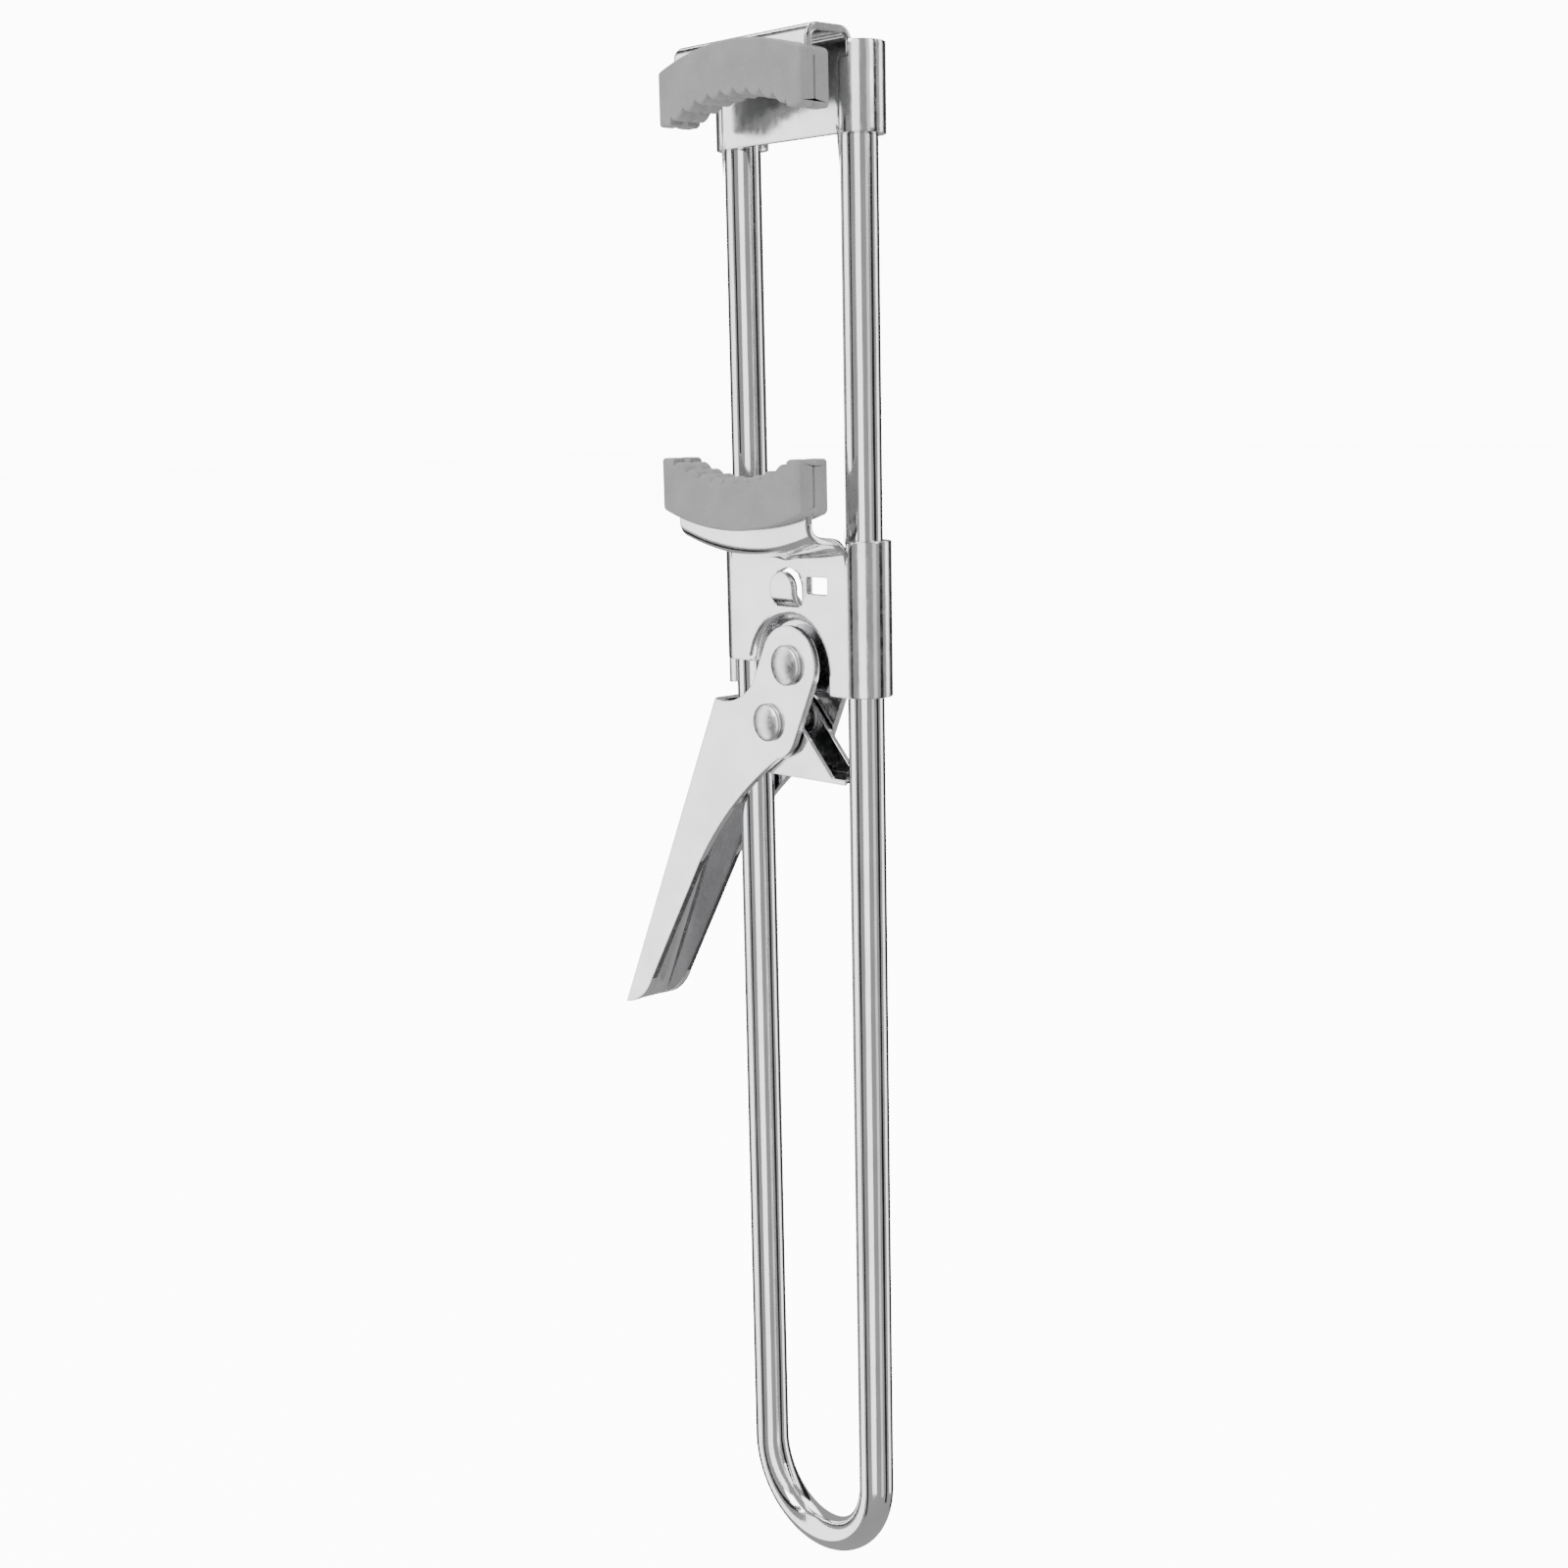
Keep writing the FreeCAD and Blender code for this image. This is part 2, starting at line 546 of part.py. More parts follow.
# --- strut spring: a coil on the strut's rivet with two legs ------------------------------
def build_spring():
    """A swept wire: leg beside the lever's rivet, coil on the strut's rivet, leg over the foot."""
    spring = doc.addObject("Part::Feature", "strut_spring")
    spring.Label = "strut_spring"
    radius = size_of("link_dia / 2 + coil_gap + wire_dia / 2")
    turns = size_of("coil_turns + (lever_tilt - leg_lean) / 360")
    width = size_of("coil_pitch") * turns
    coil = Part.makeHelix(size_of("coil_pitch"), width, radius)
    first, last = coil.Edges[0], coil.Edges[-1]
    start, end = first.valueAt(first.FirstParameter), last.valueAt(last.LastParameter)
    way_in, way_out = first.tangentAt(first.FirstParameter), last.tangentAt(last.LastParameter)
    tail = start - way_in * size_of("link_place + rivet_dia / 2")
    path = Part.Wire([Part.makeLine(tail, start)] + coil.Edges
                     + [Part.makeLine(end, end + way_out * size_of("leg_length"))])
    section = Part.Wire([Part.makeCircle(size_of("wire_dia / 2"), tail, way_in)])
    wire = path.makePipeShell([section], True, True)
    spring.Shape = wire
    turned = FreeCAD.Rotation(FreeCAD.Vector(0, 1, 0), size_of("lever_tilt"))
    lying = FreeCAD.Rotation(FreeCAD.Vector(1, 0, 0), 90)
    facing = FreeCAD.Rotation(FreeCAD.Vector(0, 0, 1), 180)
    seat = FreeCAD.Vector(size_of(LINK_X), 0, size_of(LINK_Z))
    middle = FreeCAD.Placement(FreeCAD.Vector(0, 0, -width / 2), FreeCAD.Rotation())
    spring.Placement = FreeCAD.Placement(seat, turned * lying * facing).multiply(middle)
    return spring


def main():
    frame = build_rod_frame()
    parts = [frame, build_fixed_bracket(), build_pad("fixed_pad", FIXED_CROWN, "-", "fixed_reach"),
             build_slider_bracket(), build_pad("sliding_pad", SLIDE_CROWN, "+", "slide_reach"),
             build_lever(), build_strut(),
             build_rivet("lever_rivet", "rivet_dia", "rivet_head", "0", PIVOT_Z),
             build_rivet("strut_rivet", "link_dia", "link_head", LINK_X, LINK_Z),
             build_spring()]
    doc.recompute()
    for item in doc.Objects:
        if "Invalid" in item.State or "Error" in item.State:
            raise ValueError(f"{item.Name} failed: {item.State}")
    for part in parts:
        if part.Shape.isNull() or not part.Shape.isValid() or len(part.Shape.Solids) != 1:
            raise ValueError(f"{part.Label} isn't one valid solid")
    os.makedirs("parts", exist_ok=True)
    for part in parts:
        part.Shape.exportStep(f"parts/{part.Label}.step")
        box = part.Shape.optimalBoundingBox()
        print(f"{part.Label:16s} {part.Shape.Volume:9.2f} mm3  x {box.XMin:7.2f} {box.XMax:7.2f}"
              f"  y {box.YMin:6.2f} {box.YMax:6.2f}  z {box.ZMin:7.2f} {box.ZMax:7.2f}")


main()
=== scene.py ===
# %% [markdown]
# # Adjustable lid gripper
# A U of polished rod carries two jaws. The upper jaw is fixed to the rod's ends, and the lower one slides
# on both legs. A channel-shaped lever and a small locking strut push the lower jaw up against a lid.
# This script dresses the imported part: soft-edged pressed steel, a bright drawn rod, two moulded rubber pads
# with ribbed grip faces, and plain studio light. The pieces are worked out in millimetres, and places are
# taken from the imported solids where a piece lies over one.

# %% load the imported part
import math

import bmesh
import bpy
from mathutils import Matrix, Vector


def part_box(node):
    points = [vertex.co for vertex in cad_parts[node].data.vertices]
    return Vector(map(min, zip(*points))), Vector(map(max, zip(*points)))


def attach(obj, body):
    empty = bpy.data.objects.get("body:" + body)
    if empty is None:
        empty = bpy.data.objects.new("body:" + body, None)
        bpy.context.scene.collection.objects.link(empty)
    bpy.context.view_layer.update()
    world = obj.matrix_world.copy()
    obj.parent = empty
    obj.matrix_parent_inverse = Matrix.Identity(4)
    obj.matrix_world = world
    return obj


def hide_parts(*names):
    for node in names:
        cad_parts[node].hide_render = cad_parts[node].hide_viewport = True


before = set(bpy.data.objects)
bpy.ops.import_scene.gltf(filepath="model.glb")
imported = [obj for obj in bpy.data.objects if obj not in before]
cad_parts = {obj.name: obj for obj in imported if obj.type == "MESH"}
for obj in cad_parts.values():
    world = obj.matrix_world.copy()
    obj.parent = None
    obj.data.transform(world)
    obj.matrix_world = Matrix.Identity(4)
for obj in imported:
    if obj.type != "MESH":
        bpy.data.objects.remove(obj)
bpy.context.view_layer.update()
MM = 0.001


def box_mm(node):
    """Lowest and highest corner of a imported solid, in millimetres to the nearest micron."""
    low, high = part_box(node)
    return [round(c / MM, 3) for c in low], [round(c / MM, 3) for c in high]


def middle_mm(node):
    """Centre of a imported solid's box, in millimetres."""
    low, high = box_mm(node)
    return [round((a + b) / 2, 3) for a, b in zip(low, high)]


print("nodes:", sorted(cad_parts))

# %% [markdown]
# ## Shared mesh helpers
# Most pieces here are skins: rows of points joined by quads. One helper joins the rows, another turns points
# into a piece that rides on its body, and a third marks which edges stay crisp.


# %% mesh helpers
CRISP = 38


def skin(rows, closed=False, caps=False):
    """Quads between rows of equally many points."""
    count = len(rows[0])
    verts = [p for row in rows for p in row]
    faces = []
    for r in range(len(rows) - 1):
        for c in range(count if closed else count - 1):
            a, b = r * count + c, r * count + (c + 1) % count
            faces.append((a, b, b + count, a + count))
    if caps:
        faces.append(tuple(range(count)))
        faces.append(tuple(range(len(verts) - count, len(verts))))
    return verts, faces


def finish_mesh(piece, crisp):
    """Outward normals, smooth shading, and a crisp crease wherever faces meet steeper than crisp degrees."""
    mesh = bmesh.new()
    mesh.from_mesh(piece.data)
    bmesh.ops.recalc_face_normals(mesh, faces=mesh.faces)
    mesh.to_mesh(piece.data)
    mesh.free()
    piece.data.shade_smooth()
    piece.data.set_sharp_from_angle(angle=math.radians(crisp))


def place(name, data, body, stands_for=()):
    piece = bpy.data.objects.new(name, data)
    bpy.context.scene.collection.objects.link(piece)
    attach(piece, body)
    if stands_for:
        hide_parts(*stands_for)
    return piece


def make_piece(name, verts, faces, body, slot, stands_for=(), crisp=CRISP):
    data = bpy.data.meshes.new(name)
    data.from_pydata([tuple(c * MM for c in v) for v in verts], [], faces)
    piece = place(name, data, body, stands_for)
    finish_mesh(piece, crisp)
    print(name, len(data.vertices), "points")
    return piece


def join(patches):
    """Several skins as one."""
    verts, faces = [], []
    for more_verts, more_faces in patches:
        shift = len(verts)
        verts += more_verts
        faces += [tuple(i + shift for i in face) for face in more_faces]
    return verts, faces


def weld(piece, reach=0.004):
    """Merge points that lie within reach of each other, in mm."""
    mesh = bmesh.new()
    mesh.from_mesh(piece.data)
    bmesh.ops.remove_doubles(mesh, verts=mesh.verts, dist=reach * MM)
    mesh.to_mesh(piece.data)
    mesh.free()


def steady_normals(piece):
    """Let large flat faces rule the shading, so that bevels don't tint them."""
    weighted = piece.modifiers.new("steady", "WEIGHTED_NORMAL")
    weighted.keep_sharp = True
    weighted.weight = 100
    apply_modifiers(piece)


def apply_modifiers(piece):
    """The piece's mesh as its modifiers leave it."""
    shown = piece.evaluated_get(bpy.context.evaluated_depsgraph_get())
    solid = bpy.data.meshes.new_from_object(shown)
    piece.modifiers.clear()
    piece.data = solid


def ease(t):
    t = min(max(t, 0.0), 1.0)
    return t * t * (3 - 2 * t)


def steps(*stops, size=0.3):
    """Numbers that run through every stop, about size apart."""
    line = [stops[0]]
    for low, high in zip(stops, stops[1:]):
        count = max(1, round((high - low) / size))
        line += [low + (high - low) * i / count for i in range(1, count + 1)]
    return line


# %% [markdown]
# ## The rod
# One round rod, 5.2 mm thick, bent to a U with straight parallel legs. It is drawn through a die and
# polished, so it is very smooth and keeps a faint lengthwise grain. A swept circle with many sides gives
# clean long reflections, and small chamfers break the sawn ends.

# %% rod frame
ROD_R = 2.6
LEG_X = 12.0
ROD_TOP = 223.4
BEND_Z = LEG_X + ROD_R
BEND_STEPS = 72
# how far below the end each ring of the chamfer lies, and how much thinner it is
CHAMFER = ((0.0, 0.45), (0.1, 0.2), (0.4, 0.0))
PLAIN_END = 3


def rod_ring(spot, along, radius, sides=72):
    across = along.cross(Vector((0, 1, 0)))
    ring = []
    for i in range(sides):
        a = 2 * math.pi * i / sides
        ring.append(spot + across * radius * math.cos(a) + Vector((0, 1, 0)) * radius * math.sin(a))
    return ring


rings = []
down, up = Vector((0, 0, -1)), Vector((0, 0, 1))
leg_z = steps(BEND_Z, ROD_TOP - PLAIN_END, size=6)
for drop, shrink in CHAMFER:
    rings.append(rod_ring(Vector((-LEG_X, 0, ROD_TOP - drop)), down, ROD_R - shrink))
for z in reversed(leg_z):
    rings.append(rod_ring(Vector((-LEG_X, 0, z)), down, ROD_R))
for i in range(1, BEND_STEPS):
    a = math.pi * (1 + i / BEND_STEPS)
    spot = Vector((LEG_X * math.cos(a), 0, BEND_Z + LEG_X * math.sin(a)))
    rings.append(rod_ring(spot, Vector((-math.sin(a), 0, math.cos(a))), ROD_R))
for z in leg_z:
    rings.append(rod_ring(Vector((LEG_X, 0, z)), up, ROD_R))
for drop, shrink in reversed(CHAMFER):
    rings.append(rod_ring(Vector((LEG_X, 0, ROD_TOP - drop)), up, ROD_R - shrink))
rod = make_piece("rod", *skin(rings, closed=True, caps=True), "frame", "polished_steel", ["rod_frame"])

# %% [markdown]
# ## Rubber pads
# Each jaw carries a moulded rubber pad, an arched block with soft corners. Its grip face is a hollow arc cut
# into rounded ribs, in two rows with a groove between them. Where the mould halves met, a fine furrow
# runs round the middle of the ends and the back.
# The pad is a skin of closed loops, one for each step across the jaw. Each loop is a rounded box
# from the back's arc to the grip's arc, and the ribs push its grip side in and out.

# %% pads
PAD_LOW, PAD_HIGH = box_mm("fixed_pad")
PAD_HALF = PAD_HIGH[0]
PAD_THICK = round(PAD_HIGH[1] - PAD_LOW[1], 3)
PAD_DEPTH, BACK_R = 7.2, 42.29
GRIP_ARC_R, GRIP_HALF = 29.8, 12.4
RIB_COUNT, RIB_DEPTH, RIB_ROW_HALF, RIB_FULLNESS = 9, 0.9, 12.0, 0.7
RIB_END = 0.75
GROOVE_HALF, GROOVE_SIDE, GROOVE_DEEP = 0.2, 0.35, 0.55
GROOVE_Y = [0.5, 0.3, 0.0, -0.3, -0.5]
CORNER, CORNER_POINTS = 0.45, 4
LINE_HALF, LINE_MOUTH, LINE_DEEP = 0.07, 0.25, 0.3
# a loop's two straight sides: how many points each has, and where each starts
SIDE_POINTS, FIRST_SIDE, SECOND_SIDE = 11, 18, 54
FIRST_END, SECOND_END = FIRST_SIDE + SIDE_POINTS, SECOND_SIDE + SIDE_POINTS
END_ROUNDING = (0.0, 0.03, 0.1, 0.22, 0.45)
COLUMN_HALF, COLUMN_STEP = 14.0, 0.12


def back_rise(x):
    """How far the back falls away from its crown at x."""
    return BACK_R - math.sqrt(BACK_R ** 2 - x ** 2)


def grip_depth(x):
    """Crown to grip face at x, before the ribs."""
    return PAD_DEPTH + GRIP_ARC_R - math.sqrt(GRIP_ARC_R ** 2 - min(abs(x), GRIP_HALF) ** 2)


def rib_height(x, y):
    """Rounded ribs side by side, cut short by the middle groove."""
    groove = ease((abs(y) - GROOVE_HALF) / GROOVE_SIDE)
    dip = -GROOVE_DEEP * (1 - groove)
    place_in_row = (x / RIB_ROW_HALF + 1) / 2 * RIB_COUNT
    if not 0 < place_in_row < RIB_COUNT:
        return dip
    bump = math.sin(math.pi * (place_in_row % 1.0)) ** RIB_FULLNESS
    return dip - RIB_DEPTH * (1 - bump) * groove


def span(low, high, count):
    return [low + (high - low) * i / count for i in range(count + 1)]


def corner_arc(side, depth, quarter):
    """Points between the two ends of a rounded corner about (side, depth), quarter in degrees."""
    arc = []
    for i in range(1, CORNER_POINTS + 1):
        a = math.radians(quarter + 90 / (CORNER_POINTS + 1) * i)
        arc.append((side + CORNER * math.sin(a), depth - CORNER * math.cos(a)))
    return arc


def pad_loop(x, crown, way, middle_y):
    """One closed loop round the pad at x: back, rear, grip face, front. A mould line runs along the back."""
    end_gap = PAD_HALF - abs(x)
    pinch = CORNER - math.sqrt(max(CORNER ** 2 - max(CORNER - end_gap, 0) ** 2, 0))
    half = PAD_THICK / 2 - pinch
    back, grip = back_rise(x) + pinch, grip_depth(x) - pinch
    valley = rib_height(x, half)
    inner = half - CORNER
    loop = [(y, back) for y in span(-inner, -LINE_MOUTH, 5)]
    loop += [(-LINE_HALF, back + LINE_DEEP), (LINE_HALF, back + LINE_DEEP)]
    loop += [(y, back) for y in span(LINE_MOUTH, inner, 5)]
    loop += corner_arc(inner, back + CORNER, 0)
    loop += [(half, d) for d in span(back + CORNER, grip - CORNER + valley, 10)]
    loop += corner_arc(inner, grip - CORNER + valley, 90)
    for y in span(inner, RIB_END, 5) + GROOVE_Y + span(-RIB_END, -inner, 5):
        loop.append((y, grip + rib_height(x, y)))
    loop += corner_arc(-inner, grip - CORNER + valley, 180)
    loop += [(-half, d) for d in span(grip - CORNER + valley, back + CORNER, 10)]
    loop += corner_arc(-inner, back + CORNER, 270)
    return [(x, middle_y + y, crown + way * depth) for y, depth in loop]


def end_face(loop, side):
    """The flat end inside the last loop, with the mould line as a narrow furrow down its middle."""
    rear, front = loop[FIRST_SIDE:FIRST_END], loop[SECOND_SIDE:SECOND_END][::-1]
    rows = []
    for r, f in zip(rear, front):
        x, middle, z = r[0], (r[1] + f[1]) / 2, r[2]
        deep = x - side * LINE_DEEP
        rows.append([r, (x, middle + LINE_MOUTH, z), (deep, middle + LINE_HALF, z),
                     (deep, middle - LINE_HALF, z), (x, middle - LINE_MOUTH, z), f])
    over_back = loop[SECOND_END:] + loop[:FIRST_SIDE] + rows[0]
    over_grip = loop[FIRST_END:SECOND_SIDE] + rows[-1][::-1]
    fans = [(points, [tuple(range(len(points)))]) for points in (over_back, over_grip)]
    return join([skin(rows)] + fans)


def grip_pad(name, way, body, node):
    """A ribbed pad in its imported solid's place. The grip face looks down if way is -1, and up if it is 1."""
    low, high = box_mm(node)
    crown = high[2] if way < 0 else low[2]
    middle_y = middle_mm(node)[1]
    ends = [PAD_HALF - d for d in END_ROUNDING]
    columns = sorted([-x for x in ends] + ends + steps(-COLUMN_HALF, COLUMN_HALF, size=COLUMN_STEP))
    loops = [pad_loop(x, crown, way, middle_y) for x in columns]
    whole = join([skin(loops, closed=True), end_face(loops[0], -1), end_face(loops[-1], 1)])
    piece = make_piece(name, *whole, body, "grey_rubber", [node], crisp=50)
    weld(piece)
    finish_mesh(piece, 50)
    return piece


upper_pad = grip_pad("upper_pad", -1, "frame", "fixed_pad")
lower_pad = grip_pad("lower_pad", 1, "slider", "sliding_pad")

# %% [markdown]
# ## Sliding bracket
# One blank of 1.1 mm sheet. Its sides are rolled round the legs, its lower middle is pressed back into a
# round-topped recess for the lever, and its top is bent forward and up into the tongue inside the pad.
# A small tab is cut free on three sides and pushed forward, and a slot lies beside it.
# The sheet's middle surface is a fine grid, so every bend and pressing is a smooth shift of its points.
# Openings are left-out squares of the grid, with the grid's lines laid on their edges. Thickness comes last.

# %% sliding bracket
SHEET, SHEARED_EDGE = 1.1, 0.13
FOOT_Z = box_mm("slider_bracket")[0][2]
SLEEVE_TOP, SLEEVE_MID = 157.6, 3.25
FACE_Y = -SLEEVE_MID
TONGUE_Y = middle_mm("sliding_pad")[1]
TONGUE_HALF, TONGUE_TIP_R, TONGUE_ROWS = 13.6, 36.99, 8
SHELF_R, SHELF_AXIS = 43.84, 201.54
BEND_START, BEND_ROWS, BEND_RISE, BEND_DIP = 154.2, 40, 1.2, 3.6
GUSSET_DEEP, GUSSET_RUN, GUSSET_HALF, GUSSET_SLANT = 0.3, 0.4, 1.3, 0.7
NOTCH_X, NOTCH_TOP, NOTCH_Y = -6.8, 139.6, 2.15
SLOT_X, SLOT_Z = (4.2, 8.2), (150.0, 152.4)
SLIT_R, SLIT_LOW, SLIT_CROWN, SLIT_PULL = 2.9, 148.3, 150.6, 0.2
RECESS_HALF, RECESS_CROWN, RECESS_DEEP, RECESS_SLOPE = 8.85, 138.8, 2.0, 1.6
# a sleeve's turn round its leg in degrees, with lines where the notch cuts it
SLEEVE_TURN = (270, 317.4, 402.6, 495)


def press_back(x, z):
    """How far the recess is pressed back at x, z."""
    away = abs(x) if z < RECESS_CROWN else math.hypot(x, z - RECESS_CROWN)
    return RECESS_DEEP * ease((RECESS_HALF - away) / RECESS_SLOPE)


def on_tab_slit(x, z):
    """The point, pulled onto the round end of the tab's slit when it lies beside it."""
    away = math.hypot(x, z - SLIT_CROWN)
    if z > SLIT_CROWN and abs(away - SLIT_R) < SLIT_PULL:
        return x * SLIT_R / away, SLIT_CROWN + (z - SLIT_CROWN) * SLIT_R / away
    return x, z


def cut_out(x, z):
    """True inside the notch, the slot and the slit round the tab."""
    notch = x < NOTCH_X and z < NOTCH_TOP
    slot_hole = SLOT_X[0] < x < SLOT_X[1] and SLOT_Z[0] < z < SLOT_Z[1]
    straight_slit = abs(x) < SLIT_R and SLIT_LOW < z <= SLIT_CROWN
    round_slit = z > SLIT_CROWN and math.hypot(x, z - SLIT_CROWN) < SLIT_R
    return notch or slot_hole or straight_slit or round_slit


def sheet_patch(rows, left_out):
    """Rows of points as quads, without those whose middle is left out."""
    verts, faces = skin(rows)
    kept = []
    for face in faces:
        middle = sum((Vector(verts[i]) for i in face), Vector()) / 4
        if not left_out(middle):
            kept.append(face)
    return verts, kept


def thicken(piece):
    """Weld the patches, give the sheet its thickness about the middle, and break its sheared edges."""
    mesh = bmesh.new()
    mesh.from_mesh(piece.data)
    bmesh.ops.remove_doubles(mesh, verts=mesh.verts, dist=0.02 * MM)
    loose = [v for v in mesh.verts if not v.link_faces]
    bmesh.ops.delete(mesh, geom=loose, context="VERTS")
    bmesh.ops.recalc_face_normals(mesh, faces=mesh.faces)
    mesh.to_mesh(piece.data)
    mesh.free()
    solid = piece.modifiers.new("thickness", "SOLIDIFY")
    solid.thickness = SHEET * MM
    solid.offset = 0.0
    solid.use_even_offset = True
    soft = piece.modifiers.new("sheared_edges", "BEVEL")
    soft.limit_method = "ANGLE"
    soft.angle_limit = math.radians(50)
    soft.width = SHEARED_EDGE * MM
    soft.segments = 2
    soft.use_clamp_overlap = False
    apply_modifiers(piece)
    finish_mesh(piece, CRISP)
    steady_normals(piece)


def sleeve_rows(side, radius, heights):
    """Middle of a sleeve's sheet: 225 degrees from the front round the outside of its leg to the rear."""
    turn = [math.radians(a) for a in steps(*SLEEVE_TURN, size=6)]
    return [[(side * (LEG_X + radius * math.cos(a)), radius * math.sin(a), z) for a in turn] for z in heights]


def in_sleeve_notch(p):
    """True where the lever's notch runs on round the left sleeve."""
    return p.x < 0 and p.z < NOTCH_TOP and abs(p.y) > NOTCH_Y


plate_x = steps(-LEG_X, NOTCH_X, -SLIT_R, SLIT_R, *SLOT_X, LEG_X)
plate_z = steps(FOOT_Z, NOTCH_TOP, SLIT_LOW, SLOT_Z[0], SLIT_CROWN, SLOT_Z[1], BEND_START)
plate_rows = []
for z in plate_z:
    row = []
    for x in plate_x:
        slit_x, slit_z = on_tab_slit(x, z)
        row.append((slit_x, FACE_Y + press_back(x, z), slit_z))
    plate_rows.append(row)
plate = sheet_patch(plate_rows, lambda p: cut_out(p.x, p.z))

sleeves = []
for side in (-1, 1):
    rows = sleeve_rows(side, SLEEVE_MID, plate_z + steps(BEND_START, SLEEVE_TOP)[1:])
    sleeves.append(sheet_patch(rows, in_sleeve_notch))


def gusset(x, t):
    """A stiffening dimple pressed into the first bend at the middle."""
    press = math.sin(math.pi * min(t / GUSSET_RUN, 1.0)) ** 2
    return GUSSET_DEEP * press * math.exp(-(x / GUSSET_HALF) ** 2)


def over_the_bend(x, t):
    """Middle of the sheet at x as it swings forward and up into the tongue, t from 0 to 1."""
    shelf = SHELF_AXIS - math.sqrt(SHELF_R ** 2 - x ** 2) - SHEET / 2
    leave, arrive = shelf + BEND_RISE, shelf - BEND_DIP
    ways = [(FACE_Y, BEND_START), (FACE_Y, leave), (TONGUE_Y, arrive), (TONGUE_Y, leave)]
    shares = [(1 - t) ** 3, 3 * t * (1 - t) ** 2, 3 * t * t * (1 - t), t ** 3]
    y = sum(w * s[0] for w, s in zip(shares, ways))
    z = sum(w * s[1] for w, s in zip(shares, ways))
    dimple = gusset(x, t) * GUSSET_SLANT
    # beside the sleeves the sheet is as narrow as the plate, and it widens as it swings forward
    beyond = max(abs(x) - LEG_X, 0.0) * (1 - ease(t / 0.8))
    return x - math.copysign(beyond, x), y - dimple, z - dimple


bend_x = steps(-TONGUE_HALF, -LEG_X, size=0.4)[:-1] + plate_x + steps(LEG_X, TONGUE_HALF, size=0.4)[1:]
bend_rows = [[over_the_bend(x, t / BEND_ROWS) for x in bend_x] for t in range(BEND_ROWS + 1)]
for i in range(1, TONGUE_ROWS + 1):
    row = []
    for x in bend_x:
        start = over_the_bend(x, 1.0)[2]
        tip = SHELF_AXIS - math.sqrt(TONGUE_TIP_R ** 2 - x ** 2)
        row.append((x, TONGUE_Y, start + (tip - start) * i / TONGUE_ROWS))
    bend_rows.append(row)
bend = skin(bend_rows)

slider_skin = join([plate, *sleeves, bend])
slider = make_piece("slider_sheet", *slider_skin, "slider", "pressed_steel", ["slider_bracket"])
thicken(slider)

# %% [markdown]
# ## Fixed jaw
# The upper jaw is the same kind of blank: sides rolled round the rod's ends, and the middle folded forward
# and down into a channel whose front lip sits inside the pad. Two quarter bends of 1.45 mm join three flats.

# %% fixed jaw
JAW_LOW, JAW_HIGH = box_mm("fixed_bracket")
JAW_FOOT = JAW_LOW[2]
JAW_TOP = round(JAW_HIGH[2] - SHEET / 2, 3)
JAW_SLEEVE_MID = 3.15
JAW_Y = -JAW_SLEEVE_MID
LIP_Y, LIP_TIP = middle_mm("fixed_pad")[1], 218.8
JAW_HALF, JAW_SHOULDER, JAW_REACH = 13.6, 221.4, -4.0
JAW_BEND, JAW_STEP = 1.45, 0.6


def over_the_channel():
    """Middle of the sheet from the plate's foot over the top to the lip's tip, as (y, z)."""
    path = [(JAW_Y, z) for z in steps(JAW_FOOT, JAW_TOP - JAW_BEND, size=JAW_STEP)]
    for i in range(1, 10):
        a = math.radians(i * 10)
        path.append((JAW_Y - JAW_BEND + JAW_BEND * math.cos(a), JAW_TOP - JAW_BEND + JAW_BEND * math.sin(a)))
    for i in range(8):
        a = math.radians(i * 10)
        path.append((LIP_Y + JAW_BEND - JAW_BEND * math.sin(a), JAW_TOP - JAW_BEND + JAW_BEND * math.cos(a)))
    path += [(LIP_Y, z) for z in reversed(steps(LIP_TIP, JAW_TOP - JAW_BEND, size=JAW_STEP))]
    return path


def beside_the_sleeves(p):
    """True on the plate's strips beyond the legs, where the sleeves take over."""
    return abs(p.x) > LEG_X and p.z < JAW_SHOULDER and p.y > JAW_REACH


jaw_x = steps(-JAW_HALF, -LEG_X, LEG_X, JAW_HALF, size=JAW_STEP)
channel_rows = [[(x, y, z) for x in jaw_x] for y, z in over_the_channel()]
jaw_parts = [sheet_patch(channel_rows, beside_the_sleeves)]
for side in (-1, 1):
    jaw_parts.append(skin(sleeve_rows(side, JAW_SLEEVE_MID, steps(JAW_FOOT, ROD_TOP, size=JAW_STEP))))
fixed_jaw = make_piece("fixed_jaw_sheet", *join(jaw_parts), "frame", "pressed_steel", ["fixed_bracket"])
thicken(fixed_jaw)

# %% [markdown]
# ## Spring tab
# The tab is lanced from the sliding bracket's plate: sheared free on three sides and pushed forward on a short
# step. Its free end is round like the slit's, and smaller, so that a gap stays all round it.

# %% spring tab
TAB_HALF, TAB_FOOT, TAB_TIP, TAB_BLUNT = 2.4, 147.9, 153.0, 0.3
TAB_PUSH, TAB_RUN = 1.3, 2.0

tab_rows = []
for z in steps(TAB_FOOT, SLIT_LOW, TAB_FOOT + TAB_RUN, TAB_TIP, size=0.2):
    above = max(z - SLIT_CROWN, 0.0)
    wide = math.sqrt(max(TAB_HALF ** 2 - above ** 2, TAB_BLUNT ** 2))
    y = FACE_Y - TAB_PUSH * ease((z - TAB_FOOT) / TAB_RUN)
    tab_rows.append([(wide * (i / 8 - 1), y, z) for i in range(17)])
tab = make_piece("spring_tab", *skin(tab_rows), "slider", "pressed_steel")
thicken(tab)

